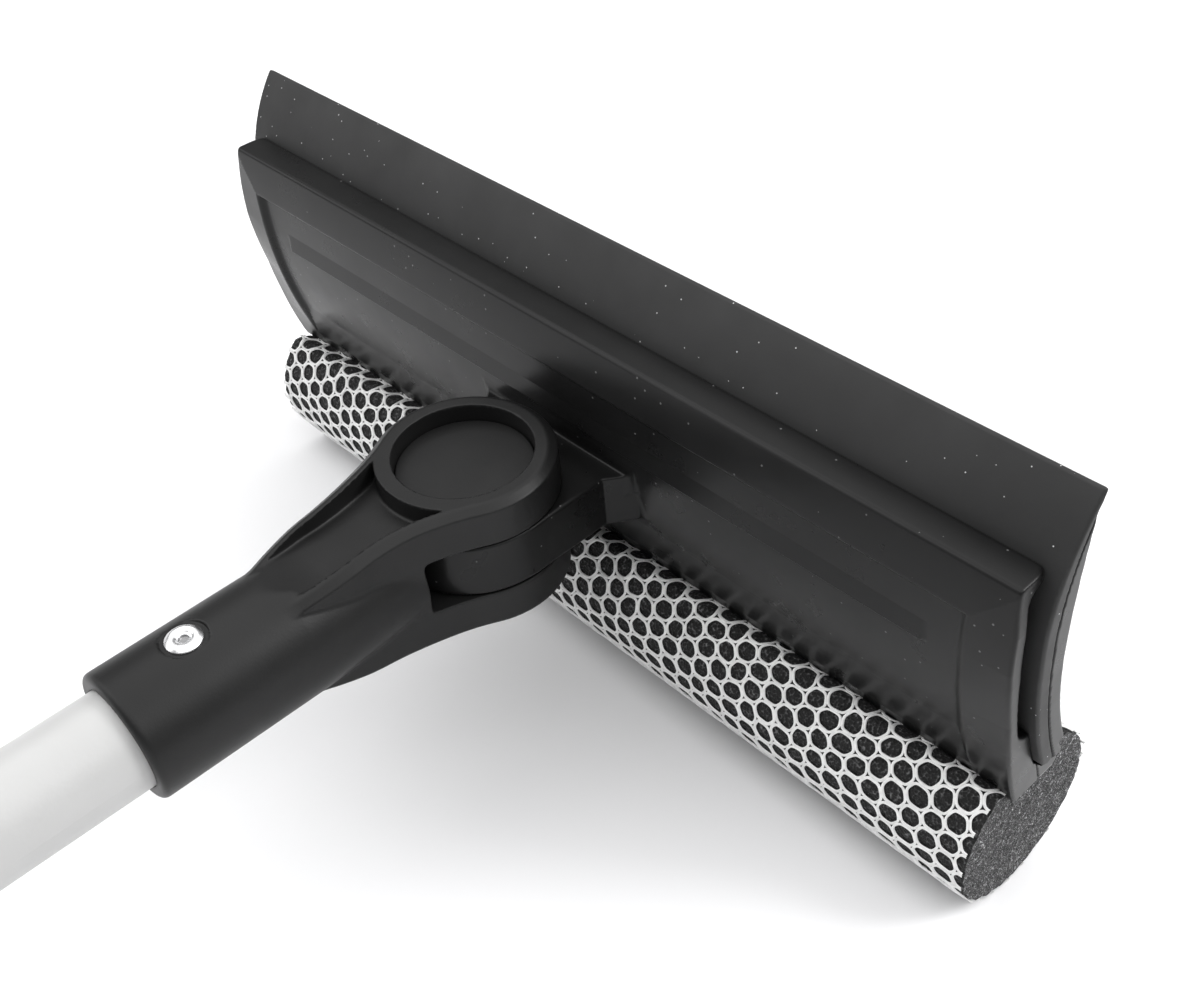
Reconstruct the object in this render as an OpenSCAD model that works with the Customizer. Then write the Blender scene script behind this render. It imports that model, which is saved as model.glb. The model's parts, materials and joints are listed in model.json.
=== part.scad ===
// Window cleaning squeegee: a rubber blade and a net-covered sponge on one head,
// which swivels in the fork of a short riveted pole.
//
// Every sub-part is drawn in the tool's own axes: the origin is where the swivel
// axis meets the boss's top face, +Y runs along the pole towards the head, +Z runs
// up the swivel axis and +X along the blade. lie_down() then lays the tool on a
// flat surface, resting on its sponge and on the end of its grip.

/* [Head] */
// Length of the rubber blade
blade_len = 246; // [220:1:270]
// Length of the front and back shells
shell_len = 242; // [216:1:266]
// Length of the sponge and its net
sponge_len = 240; // [214:1:264]
// Radius of the sponge
sponge_r = 20.4; // [19:0.1:22]
// Thickness of the net over the sponge
net_t = 0.8; // [0.5:0.1:1.2]
// Thickness of the rubber at its root
rubber_t = 3.4; // [2.8:0.1:4]
// Wall thickness of the front shell
shell_t = 2.4; // [1.8:0.1:2.8]
// Depth of the tray in the front shell
tray_d = 1.2; // [0.6:0.1:1.4]

/* [Swivel] */
// Radius of the fork's round end
fork_r = 20.3; // [19.5:0.1:21]
// Height of the fork over both plates
fork_h = 34.2; // [32:0.2:36]
// Thickness of the tongue held in the fork
tongue_t = 13.2; // [12:0.1:14]
// Gap above and below the tongue
tongue_gap = 0.4; // [0.3:0.05:0.6]
// Radius of the round recess in the boss
recess_r = 15.4; // [14:0.1:16]
// Depth of the recess above the pin's head
recess_d = 4.1; // [3:0.1:5]
// Radius of the swivel pin
pin_r = 8; // [6:0.5:9]

/* [Handle] */
// Outside radius of the pole
pole_r = 11; // [10:0.5:12]
// Wall thickness of the pole
pole_t = 1; // [0.8:0.1:1.5]
// Outside radius of the socket round the pole
socket_r = 14.3; // [13.8:0.1:15]
// Distance from the swivel axis to the socket's open end
socket_y = 88; // [80:1:100]
// Distance from the swivel axis to the far end of the grip's collar
grip_end_y = 430; // [400:5:480]
// Length of the hand grip
grip_len = 120; // [100:5:140]
// Radius of the hand grip and the end cap's collar
grip_r = 14; // [13:0.5:16]
// Radius of the hanging hole
hang_r = 4.5; // [3.5:0.5:5]

/* [Hidden] */
$fn = 96;

// Small clearances and an overshoot for cuts
slip = 0.05;
clear = 0.1;
over = 1;

// Swivel heights, measured down from the boss's top face
axis_z = -fork_h / 2;
tongue_z = axis_z - tongue_t / 2;
slot_z = tongue_z - tongue_gap;
slot_h = tongue_t + 2 * tongue_gap;
slot_back = 22.4;
edge_drop = 1.5;
edge_in = 2;
pin_head_t = 2.7;
pin_seat_z = -recess_d - pin_head_t;
washer_t = 1.2;
washer_r = 15;
bush_t = 1.8;

// Neck of the fork: a large circle on each side that dips just under the round end
waist_x = 11;
waist_y = -36;
neck_over = 1.04;
neck_r = neck_over * (waist_x * waist_x + waist_y * waist_y - fork_r * fork_r)
       / (2 * (fork_r - waist_x));
neck_x = waist_x + neck_r;
dip_y = waist_y * fork_r / (fork_r + neck_r);
tail_lap = 2;
fork_back = -60;
tail_x = 6.5;
slope_start = -20;
waist_drop = 1.6;
tail_drop = 7;
rib_t = 3;
pocket_floor = -4.6;

// Socket and pole
bore_end = -42;
pole_start = bore_end - 1;
taper_start = -50;
taper_r = 13.2;
taper_end = -20;
rim_in = 1.5;
rivet_y = -70;
rivet_r = 2;
rivet_head_r = 3.9;
rivet_head_h = 1.2;
spot_r = 5;
spot_d = 0.7;
mandrel_r = 1;

// Grip and end cap
collar_len = 10;
collar_round = 2;
lug_r = 12;
lug_t = 8;
lug_y = -grip_end_y - 8;
plug_len = 28;
grip_front = -grip_end_y + collar_len + grip_len;
pole_end = -grip_end_y + 3;

// Head section, all in the Y-Z plane
face_y = 24;
face_z = 4;
face_r = 115;
rubber_y = 30.9;
rubber_low_r = 110;
rubber_top_r = 45;
rubber_back_r = 54;
tip_z = 33.4;
root_z = -36.4;
back_y = 38.8;
back_low_r = 85;
back_top_r = 200;
top_z = 19.3;
base_z = -44.4;
part_top = [39.2, -36.6];
part_base = [41.6, base_z];
step_z = -32;
heel_top_y = 43.2;
heel_y = 47.8;
back_top_z = 29;

// Sponge and its carrier
sponge_y = 41.5;
sponge_z = -58;
net_r = sponge_r + net_t;
carrier_t = 2;
carrier_w = 23;
rail_t = 3;
rail_head_w = 5.8;
rail_head_t = 1.6;
rail_top = -38.8;

// Shell screws
screw_x = [-102, -42, 42, 102];
screw_z = -14;
screw_r = 1.45;
screw_head_r = 2.8;
boss_r = 3.4;
screw_back_y = back_y + back_low_r - sqrt(pow(back_low_r, 2) - pow(screw_z, 2));
screw_len = 10.4;
boss_base_y = face_y + tray_d + 2;
boss_top_y = 31.7;

// Bracket
flange_w = 49;
flange_y = 21;
flange_face_y = 27;
flange_lip_z = -8.4;

// Lying pose: the surface touches the net and the rounded edge of the collar
heel_end_y = -grip_end_y + collar_round;
heel_end_z = axis_z - grip_r + collar_round;
rest_dy = sponge_y - heel_end_y;
rest_dz = heel_end_z - sponge_z;
lie_deg = atan(rest_dz / rest_dy)
        + asin((net_r - collar_round) / sqrt(rest_dy * rest_dy + rest_dz * rest_dz));
front_y = sponge_y * cos(lie_deg) - sponge_z * sin(lie_deg) + net_r;
rear_y = (lug_y - lug_r) * cos(lie_deg) - (axis_z + lug_t / 2) * sin(lie_deg);
floor_z = sponge_y * sin(lie_deg) + sponge_z * cos(lie_deg) - net_r;

module lie_down() {
    translate([0, -(front_y + rear_y) / 2, -floor_z])
        rotate([lie_deg, 0, 0])
            children();
}

// Extrudes a (y, z) outline along X, centred
module along_x(len) {
    rotate([90, 0, 90])
        linear_extrude(height = len, center = true)
            children();
}

// A cylinder along -Y from y0 down to y1, on the pole's axis
module along_pole(y0, y1, r0, r1) {
    translate([0, y0, axis_z])
        rotate([90, 0, 0])
            cylinder(h = y0 - y1, r1 = r0, r2 = r1);
}

// A disc or ring about the swivel axis
module disc(z, h, r) {
    translate([0, 0, z])
        cylinder(h = h, r = r);
}

module ring(z, h, r_out, r_in) {
    difference() {
        disc(z, h, r_out);
        disc(z - over, h + 2 * over, r_in);
    }
}

// A circle in the head's section, given its leftmost point and radius
module arc_disc(y, z, r) {
    translate([y + r, z])
        circle(r = r, $fn = 180);
}

// A rectangle in the head's section
module section_box(y0, z0, y1, z1) {
    translate([y0, z0])
        square([y1 - y0, z1 - z0]);
}

// ---------------------------------------------------------------- Fork

// Block that hollows one flank of the fork, its edges opened by a chamfer
module flank_cut(side, r_extra) {
    translate([side * neck_x, waist_y, 0]) {
        translate([0, 0, -fork_h - over])
            cylinder(h = fork_h + 2 * over, r = neck_r + r_extra, $fn = 180);
        translate([0, 0, -edge_drop])
            cylinder(h = edge_drop, r1 = neck_r + r_extra,
                     r2 = neck_r + r_extra + edge_in, $fn = 180);
        translate([0, 0, -fork_h])
            cylinder(h = edge_drop, r1 = neck_r + r_extra + edge_in,
                     r2 = neck_r + r_extra, $fn = 180);
    }
}

module fork_round_end() {
    disc(-fork_h + edge_drop, fork_h - 2 * edge_drop, fork_r);
    translate([0, 0, -edge_drop])
        cylinder(h = edge_drop, r1 = fork_r, r2 = fork_r - edge_in);
    translate([0, 0, -fork_h])
        cylinder(h = edge_drop, r1 = fork_r - edge_in, r2 = fork_r);
}

// Neck between the round end and the socket: it narrows to the waist, then closes
// in and slopes down until it sinks into the socket
module fork_neck() {
    difference() {
        intersection() {
            translate([-fork_r, waist_y, -fork_h])
                cube([2 * fork_r, dip_y - waist_y, fork_h]);
            neck_side_view();
        }
        for (side = [-1, 1])
            flank_cut(side, 0);
    }
    intersection() {
        translate([0, 0, -fork_h])
            linear_extrude(height = fork_h)
                tail_plan(waist_x, tail_x, fork_back);
        neck_side_view();
    }
}

// Plan of the neck behind its waist, lapping into the part in front of it
module tail_plan(wide, narrow, back) {
    polygon([
        [tail_lap - wide, waist_y + tail_lap], [wide - tail_lap, waist_y + tail_lap],
        [wide, waist_y], [narrow, back], [-narrow, back], [-wide, waist_y]
    ]);
}

module neck_side_view() {
    along_x(2 * fork_r)
        polygon([
            [1, 0], [slope_start, 0], [waist_y, -waist_drop], [fork_back, -tail_drop],
            [fork_back, -fork_h + tail_drop], [waist_y, -fork_h + waist_drop],
            [slope_start, -fork_h], [1, -fork_h]
        ]);
}

// Pocket between the two ribs, on the top face or the underside
module rib_pocket(z, h) {
    difference() {
        translate([-fork_r, waist_y, z])
            cube([2 * fork_r, -waist_y, h]);
        disc(z - over, h + 2 * over, fork_r - 0.6);
        for (side = [-1, 1])
            translate([side * neck_x, waist_y, z - over])
                cylinder(h = h + 2 * over, r = neck_r + rib_t, $fn = 180);
    }
    translate([0, 0, z])
        linear_extrude(height = h)
            tail_plan(waist_x - rib_t, tail_x - rib_t, fork_back - over);
}

module fork_socket() {
    color("#2c2d2f")
        lie_down()
            difference() {
                union() {
                    difference() {
                        union() {
                            fork_round_end();
                            fork_neck();
                        }
                        rib_pocket(pocket_floor, -pocket_floor + over);
                        rib_pocket(-fork_h - over, -pocket_floor + over);
                    }
                    along_pole(taper_end, taper_start, taper_r, socket_r);
                    along_pole(taper_start, -socket_y + rim_in, socket_r, socket_r);
                    along_pole(-socket_y + rim_in, -socket_y, socket_r, socket_r - rim_in);
                }
                // Slot for the tongue
                translate([-fork_r - over, -slot_back, slot_z])
                    cube([2 * (fork_r + over), slot_back + fork_r + over, slot_h]);
                // Recesses and bore for the swivel pin
                disc(pin_seat_z, -pin_seat_z + over, recess_r);
                disc(-fork_h - over, -pin_seat_z + over, recess_r);
                disc(-fork_h, fork_h, pin_r + slip);
                // Bore for the pole and hole for its rivet
                along_pole(bore_end, -socket_y - over, pole_r + slip, pole_r + slip);
                translate([0, rivet_y, axis_z])
                    cylinder(h = socket_r + over, r = rivet_r + slip);
                translate([0, rivet_y, axis_z + socket_r - spot_d])
                    cylinder(h = spot_d + over, r = spot_r);
            }
}

// ---------------------------------------------------------------- Swivel

module pivot_pin() {
    color("#2a2b2d")
        lie_down()
            difference() {
                union() {
                    disc(pin_seat_z, pin_head_t, recess_r - 0.25);
                    disc(-fork_h - pin_seat_z, fork_h + 2 * pin_seat_z + over, pin_r);
                }
                disc(-fork_h - pin_seat_z - over, 14 + over, 1.8);
            }
}

module wave_washer() {
    color("#8d9094")
        lie_down()
            ring(-fork_h - pin_seat_z - 0.7, 0.7, 12.5, 8.6);
}

module pin_retainer() {
    color("#2a2b2d")
        lie_down()
            difference() {
                disc(-fork_h + recess_d, pin_head_t - 0.75, recess_r - 0.25);
                disc(-fork_h, 10, 2.1);
                disc(-fork_h + recess_d - over, over + 0.9, 4.4);
            }
}

module retainer_screw() {
    color("#9a9da1")
        lie_down()
            difference() {
                union() {
                    disc(-fork_h + recess_d - 1.7, 2.6, 4);
                    disc(-fork_h + recess_d + 0.5, 13, 1.75);
                }
                for (turn = [0, 90])
                    rotate([0, 0, turn])
                        translate([-2.2, -0.5, -fork_h + recess_d - 2])
                            cube([4.4, 1, 1.4]);
            }
}

module tongue_bush() {
    color("#d9d6cc")
        lie_down()
            ring(tongue_z + washer_t, tongue_t - 2 * washer_t, pin_r + bush_t, pin_r + slip);
}

module friction_washer(z) {
    color("#c9c6bb")
        lie_down()
            ring(z, washer_t, washer_r, pin_r + clear);
}

module upper_friction_washer() {
    friction_washer(tongue_z + tongue_t - washer_t + tongue_gap - slip);
}

module lower_friction_washer() {
    friction_washer(tongue_z - tongue_gap + slip);
}

// ---------------------------------------------------------------- Pole

module pole_tube() {
    color("#e4e4e2")
        lie_down()
            difference() {
                along_pole(pole_start, pole_end, pole_r, pole_r);
                along_pole(pole_start + over, pole_end - over, pole_r - pole_t, pole_r - pole_t);
                translate([0, rivet_y, axis_z])
                    cylinder(h = pole_r + over, r = rivet_r + slip);
            }
}

module socket_rivet() {
    seat = axis_z + socket_r - spot_d;
    bulb_top = axis_z + pole_r - pole_t - 0.6;
    color("#c8cacc")
        lie_down()
            translate([0, rivet_y, 0])
                difference() {
                    union() {
                        translate([0, 0, seat])
                            cylinder(h = 0.5, r = rivet_head_r);
                        translate([0, 0, seat + 0.5])
                            cylinder(h = rivet_head_h - 0.5, r1 = rivet_head_r, r2 = 2.2);
                        translate([0, 0, bulb_top - 3])
                            cylinder(h = seat - bulb_top + 3 + slip, r = rivet_r);
                        translate([0, 0, bulb_top - 3])
                            cylinder(h = 3, r = rivet_r + 0.8);
                    }
                    translate([0, 0, bulb_top - 3 - over])
                        cylinder(h = 12, r = mandrel_r + slip);
                }
}

module rivet_mandrel() {
    seat = axis_z + socket_r - spot_d;
    bulb_base = axis_z + pole_r - pole_t - 3.6;
    color("#7f8387")
        lie_down()
            translate([0, rivet_y, 0]) {
                translate([0, 0, bulb_base - 1.6])
                    cylinder(h = seat - bulb_base + 1.6, r = mandrel_r);
                translate([0, 0, bulb_base - 1.6])
                    cylinder(h = 1.6, r = 1.7);
            }
}

module hand_grip() {
    color("#26272a")
        lie_down()
            difference() {
                union() {
                    along_pole(grip_front - 3, -grip_end_y + collar_len + slip, grip_r, grip_r);
                    along_pole(grip_front, grip_front - 3, grip_r - 2, grip_r);
                }
                along_pole(grip_front + over, -grip_end_y + collar_len - over,
                           pole_r + slip, pole_r + slip);
                // Finger grooves
                for (k = [1:9])
                    translate([0, grip_front - k * grip_len / 10, axis_z])
                        rotate([90, 0, 0])
                            rotate_extrude()
                                translate([grip_r + 0.8, 0])
                                    circle(r = 2, $fn = 32);
            }
}

module end_cap() {
    color("#2c2d2f")
        lie_down()
            difference() {
                union() {
                    // Collar with a rounded rear edge
                    translate([0, -grip_end_y, axis_z])
                        rotate([-90, 0, 0])
                            rotate_extrude() {
                                translate([0, collar_round])
                                    square([grip_r, collar_len - collar_round]);
                                square([grip_r - collar_round, collar_len]);
                                translate([grip_r - collar_round, collar_round])
                                    circle(r = collar_round, $fn = 48);
                            }
                    // Lug for hanging
                    translate([0, lug_y, axis_z - lug_t / 2])
                        cylinder(h = lug_t, r = lug_r);
                    translate([-lug_r, lug_y, axis_z - lug_t / 2])
                        cube([2 * lug_r, -grip_end_y - lug_y + over, lug_t]);
                    // Plug inside the pole
                    along_pole(-grip_end_y + plug_len, -grip_end_y + over,
                               pole_r - pole_t - slip, pole_r - pole_t - slip);
                }
                difference() {
                    along_pole(-grip_end_y + collar_len + over, pole_end - slip,
                               pole_r + slip, pole_r + slip);
                    along_pole(-grip_end_y + collar_len + 2 * over, pole_end - over,
                               pole_r - pole_t - slip, pole_r - pole_t - slip);
                }
                translate([0, lug_y - 2, axis_z - lug_t])
                    cylinder(h = 2 * lug_t, r = hang_r);
            }
}

// ---------------------------------------------------------------- Head sections

// Space behind a face that curves gently below face_z and more tightly above it
module behind_face(y, low_r, top_r) {
    intersection() {
        arc_disc(y, face_z, low_r);
        section_box(0, -60, 100, face_z);
    }
    arc_disc(y, face_z, top_r);
}

module rubber_front_section() {
    behind_face(rubber_y, rubber_low_r, rubber_top_r);
}

module rubber_back_section() {
    behind_face(rubber_y + rubber_t, rubber_low_r - rubber_t, rubber_back_r);
}

module rubber_section() {
    intersection() {
        difference() {
            rubber_front_section();
            rubber_back_section();
        }
        section_box(0, root_z, 60, tip_z);
    }
}

// Groove in both shells for the carrier's T-shaped rail
module rail_groove_section() {
    section_box(sponge_y - rail_t / 2 - clear, base_z - over,
                sponge_y + rail_t / 2 + clear, rail_top);
    section_box(sponge_y - rail_head_w / 2 - clear, rail_top - rail_head_t - clear,
                sponge_y + rail_head_w / 2 + clear, rail_top + clear);
}

// Everything in front of the joint line between the two shells
module front_side_section() {
    polygon([
        [0, -60], [part_base[0], -60], part_base, part_top, [part_top[0], 40], [0, 40]
    ]);
}

module front_shell_section() {
    difference() {
        intersection() {
            arc_disc(face_y, face_z, face_r);
            section_box(0, base_z, 60, top_z);
            front_side_section();
        }
        // Hollow behind the front wall
        intersection() {
            arc_disc(face_y + shell_t + tray_d, face_z, face_r - shell_t - tray_d);
            section_box(0, -24, 60, top_z - 2);
        }
        // Room for the rubber
        intersection() {
            rubber_front_section();
            section_box(0, root_z - clear, 60, 60);
        }
        rail_groove_section();
    }
}

module tray_section() {
    difference() {
        section_box(0, -34, 40, 9.4);
        arc_disc(face_y + tray_d, face_z, face_r - tray_d);
    }
}

module front_shell() {
    color("#1b1c1e")
        lie_down()
            difference() {
                union() {
                    difference() {
                        along_x(shell_len)
                            front_shell_section();
                        // Recessed tray between the rims
                        along_x(shell_len - 18)
                            tray_section();
                    }
                    // Raised bar along the tray
                    along_x(204)
                        intersection() {
                            difference() {
                                arc_disc(face_y + 0.3, face_z, face_r - 0.3);
                                arc_disc(face_y + tray_d + 0.5, face_z, face_r - tray_d - 0.5);
                            }
                            section_box(0, -4.4, 40, 0.4);
                        }
                    // Ribs that press on the rubber
                    for (x = [-84, -63, -21, 0, 21, 63, 84])
                        translate([x, 0, 0])
                            along_x(1.6)
                                difference() {
                                    intersection() {
                                        arc_disc(face_y + tray_d + 1, face_z, face_r - tray_d - 1);
                                        section_box(0, -25, 34, top_z - 1);
                                    }
                                    rubber_front_section();
                                }
                    // Bosses for the shell screws
                    for (x = screw_x)
                        translate([x, 0, screw_z])
                            rotate([-90, 0, 0])
                                translate([0, 0, boss_base_y])
                                    cylinder(h = boss_top_y - boss_base_y, r = boss_r);
                    bracket();
                }
                for (x = screw_x)
                    translate([x, screw_back_y - screw_len - 0.4, screw_z])
                        rotate([-90, 0, 0])
                            cylinder(h = 30, r = screw_r + slip);
                // Bore and counterbores in the tongue
                disc(tongue_z - over, tongue_t + 2 * over, pin_r + bush_t + slip);
                disc(tongue_z + tongue_t - washer_t + tongue_gap - 2 * slip, washer_t, washer_r + slip);
                disc(tongue_z - tongue_gap + 2 * slip, washer_t, washer_r + slip);
            }
}

// Tongue that swivels in the fork, and the flange that joins it to the shell
module bracket() {
    tongue_r = fork_r - 0.1;
    translate([0, 0, tongue_z])
        linear_extrude(height = tongue_t) {
            circle(r = tongue_r);
            polygon([
                [-tongue_r, 0], [-tongue_r, flange_y], [-flange_w / 2, flange_face_y],
                [-flange_w / 2, 28.2], [flange_w / 2, 28.2],
                [flange_w / 2, flange_face_y], [tongue_r, flange_y], [tongue_r, 0]
            ]);
        }
    // Lip along the flange's top
    translate([-flange_w / 2, flange_face_y - 1.4, tongue_z + tongue_t - over])
        cube([flange_w, 1.6, flange_lip_z - tongue_z - tongue_t + over]);
}

module rubber_blade() {
    color("#2f3032")
        lie_down()
            difference() {
                along_x(blade_len)
                    rubber_section();
                for (x = screw_x)
                    translate([x, 20, screw_z])
                        rotate([-90, 0, 0])
                            cylinder(h = 30, r = screw_r + 0.4);
            }
}

module back_shell_section() {
    difference() {
        // Plate behind the rubber, tapering to its upper edge, and the foot below it
        difference() {
            polygon([
                [20, base_z], [20, back_top_z], [60, back_top_z], [60, step_z],
                [heel_top_y, step_z], [heel_y, -42.6], [heel_y - 1, base_z]
            ]);
            intersection() {
                arc_disc(back_y, 0, back_top_r);
                section_box(0, 0, 80, 60);
            }
            intersection() {
                arc_disc(back_y, 0, back_low_r);
                section_box(0, step_z, 80, 60);
            }
        }
        // Rubber and everything in front of it
        difference() {
            section_box(0, root_z - clear, 60, 60);
            rubber_back_section();
        }
        intersection() {
            front_side_section();
            section_box(0, -60, 60, root_z);
        }
        rail_groove_section();
    }
}

module back_shell() {
    color("#1b1c1e")
        lie_down()
            difference() {
                along_x(blade_len)
                    back_shell_section();
                for (x = screw_x)
                    translate([x, 0, screw_z])
                        rotate([-90, 0, 0]) {
                            cylinder(h = 60, r = screw_r + 0.2);
                            translate([0, 0, screw_back_y - 2.2])
                                cylinder(h = 10, r = screw_head_r + clear);
                        }
            }
}

module shell_screws() {
    color("#9a9da1")
        lie_down()
            for (x = screw_x)
                translate([x, screw_back_y - screw_len, screw_z])
                    rotate([-90, 0, 0])
                        difference() {
                            union() {
                                cylinder(h = screw_len - 0.4, r = screw_r);
                                translate([0, 0, screw_len - 2.1])
                                    cylinder(h = 1.7, r = screw_head_r);
                            }
                            for (turn = [0, 90])
                                rotate([0, 0, turn])
                                    translate([-1.6, -0.4, screw_len - 1.4])
                                        cube([3.2, 0.8, 2]);
                        }
}

module sponge_carrier() {
    color("#232426")
        lie_down()
            along_x(shell_len - 8) {
                section_box(sponge_y - carrier_w / 2, base_z - carrier_t,
                            sponge_y + carrier_w / 2, base_z);
                section_box(sponge_y - rail_t / 2, base_z - over,
                            sponge_y + rail_t / 2, rail_top - 0.5);
                section_box(sponge_y - rail_head_w / 2, rail_top - rail_head_t,
                            sponge_y + rail_head_w / 2, rail_top);
            }
}

module foam_sponge() {
    color("#2b2b2d")
        lie_down()
            difference() {
                along_x(sponge_len)
                    intersection() {
                        translate([sponge_y, sponge_z])
                            circle(r = sponge_r, $fn = 180);
                        section_box(0, -90, 80, base_z);
                    }
                along_x(shell_len - 8)
                    section_box(sponge_y - carrier_w / 2, base_z - carrier_t,
                                sponge_y + carrier_w / 2, base_z + over);
            }
}

module net_sleeve() {
    color("#f0f0ee")
        lie_down()
            along_x(sponge_len - 2)
                intersection() {
                    difference() {
                        translate([sponge_y, sponge_z])
                            circle(r = net_r, $fn = 180);
                        translate([sponge_y, sponge_z])
                            circle(r = sponge_r, $fn = 180);
                    }
                    section_box(0, -90, 80, base_z);
                }
}

fork_socket();
pivot_pin();
pin_retainer();
retainer_screw();
wave_washer();
pole_tube();
socket_rivet();
rivet_mandrel();
hand_grip();
end_cap();
front_shell();
back_shell();
rubber_blade();
sponge_carrier();
foam_sponge();
net_sleeve();
shell_screws();
tongue_bush();
upper_friction_washer();
lower_friction_washer();
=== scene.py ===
"""Window cleaning squeegee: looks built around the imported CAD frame.

Shapes are written in the tool's own axes in millimetres: the origin is where the
swivel axis meets the boss's top face, +Y runs along the pole towards the head,
+Z runs up the swivel axis and +X along the blade. row() turns them into the
frame's metres.
"""

import json
import math

import bpy
import numpy as np
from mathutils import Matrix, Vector


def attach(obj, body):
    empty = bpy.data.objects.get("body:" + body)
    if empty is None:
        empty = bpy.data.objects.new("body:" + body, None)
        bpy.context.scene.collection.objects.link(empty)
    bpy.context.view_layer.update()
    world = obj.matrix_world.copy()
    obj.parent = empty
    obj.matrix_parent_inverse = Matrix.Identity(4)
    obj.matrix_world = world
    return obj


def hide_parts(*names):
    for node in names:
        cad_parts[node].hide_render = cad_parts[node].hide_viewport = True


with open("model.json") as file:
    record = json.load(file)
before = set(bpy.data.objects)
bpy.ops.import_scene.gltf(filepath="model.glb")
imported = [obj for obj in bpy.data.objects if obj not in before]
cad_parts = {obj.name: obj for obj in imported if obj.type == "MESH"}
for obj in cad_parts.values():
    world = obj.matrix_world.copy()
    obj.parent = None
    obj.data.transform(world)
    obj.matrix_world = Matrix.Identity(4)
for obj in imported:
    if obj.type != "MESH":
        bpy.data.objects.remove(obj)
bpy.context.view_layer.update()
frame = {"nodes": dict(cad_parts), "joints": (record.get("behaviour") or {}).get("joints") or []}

# ------------------------------------------------------------------ placing

SWIVEL = next(j for j in frame["joints"] if j["name"] == "head_swivel")
PIVOT = np.array(SWIVEL["pos_m"])
UP = np.array(SWIVEL["axis"])
SIDE = np.array([1.0, 0.0, 0.0])
AHEAD = np.cross(UP, SIDE)
TURN = np.column_stack([SIDE, AHEAD, UP])
MM_PER_M = 1000


def row(points):
    """Tool millimetres to row-frame metres."""
    return PIVOT + np.asarray(points, float) / MM_PER_M @ TURN.T


def add_mesh(name, points, faces, body, replaces, normals=None):
    """A mesh piece from tool-frame points (mm) and equal-sided faces (N x 3 or 4)."""
    faces = np.asarray(faces, np.int32)
    sides = faces.shape[1]
    mesh = bpy.data.meshes.new(name)
    mesh.vertices.add(len(points))
    mesh.vertices.foreach_set("co", row(points).astype(np.float32).ravel())
    mesh.loops.add(faces.size)
    mesh.loops.foreach_set("vertex_index", faces.ravel())
    mesh.polygons.add(len(faces))
    mesh.polygons.foreach_set("loop_start", np.arange(0, faces.size, sides, dtype=np.int32))
    mesh.update(calc_edges=True)
    mesh.validate()
    mesh.polygons.foreach_set("use_smooth", np.full(len(mesh.polygons), True))
    if normals is not None:
        turned_normals = np.asarray(normals, float) @ TURN.T
        mesh.normals_split_custom_set_from_vertices(turned_normals.tolist())
    piece = bpy.data.objects.new(name, mesh)
    bpy.context.scene.collection.objects.link(piece)
    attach(piece, body)
    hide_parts(*replaces)
    return piece


# ------------------------------------------------------- signed distances
# Each moulded part is a signed distance in millimetres, negative inside, so its
# edges and corners can be rounded and filleted as a mould does. The last argument
# of smin and smax is the width of that rounding.

def smin(a, b, width):
    """Union of two distances, filleted where they meet."""
    h = np.maximum(width - np.abs(a - b), 0) / width
    return np.minimum(a, b) - h * h * width / 4


def smax(a, b, width):
    """Intersection of two distances, rounded where they meet."""
    return -smin(-a, -b, width)


def rise(t):
    """0 up to t = 0, 1 from t = 1, and a smooth step between."""
    t = np.clip(t, 0, 1)
    return t * t * (3 - 2 * t)


def box2(u, v, u0, u1, v0, v1):
    """Distance to an upright rectangle."""
    du = np.maximum(u0 - u, u - u1)
    dv = np.maximum(v0 - v, v - v1)
    return np.maximum(du, dv)


# ------------------------------------------------------- meshing a distance

BLOCK = 6          # grid cells along each side of a coarse block
SLACK = 1.6        # how much steeper than a true distance a field may be
MARGIN = 0.5       # mm added to a block's reach
PULLS = 3          # times each vertex is pulled onto the surface
PULL_MAX = 0.3     # mm
PROBE = 0.04       # mm, step of the gradient
FLATTEST = 0.2     # least squared gradient that a pull divides by


def graded(*runs):
    """Grid lines through (start, end, step) runs."""
    lines = [runs[0][0]]
    for start, end, step in runs:
        count = max(1, int(round((end - start) / step)))
        lines += list(np.linspace(start, end, count + 1)[1:])
    return np.array(lines)


def block_middles(line):
    """Middle and half length of each block along one axis."""
    starts = np.arange(0, len(line), BLOCK)
    ends = np.minimum(starts + BLOCK, len(line) - 1)
    return (line[starts] + line[ends]) / 2, (line[ends] - line[starts]) / 2


def per_node(blocks, shape):
    """Each block's value at all of its grid nodes."""
    for axis in range(3):
        blocks = blocks.repeat(BLOCK, axis)
    return blocks[:shape[0], :shape[1], :shape[2]]


def sample(field, lines):
    """The field on the grid, worked out node by node only in blocks near the surface."""
    shape = tuple(len(line) for line in lines)
    middles, halves = zip(*(block_middles(line) for line in lines))
    at_middle = field(*np.meshgrid(*middles, indexing="ij"))
    hx, hy, hz = halves
    reach = np.sqrt(hx[:, None, None] ** 2 + hy[None, :, None] ** 2 + hz[None, None, :] ** 2)
    near = np.abs(at_middle) < reach * SLACK + MARGIN
    values = per_node(at_middle, shape).astype(np.float32)
    nodes = np.nonzero(per_node(near, shape))
    values[nodes] = field(*(line[at] for line, at in zip(lines, nodes)))
    return values


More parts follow.
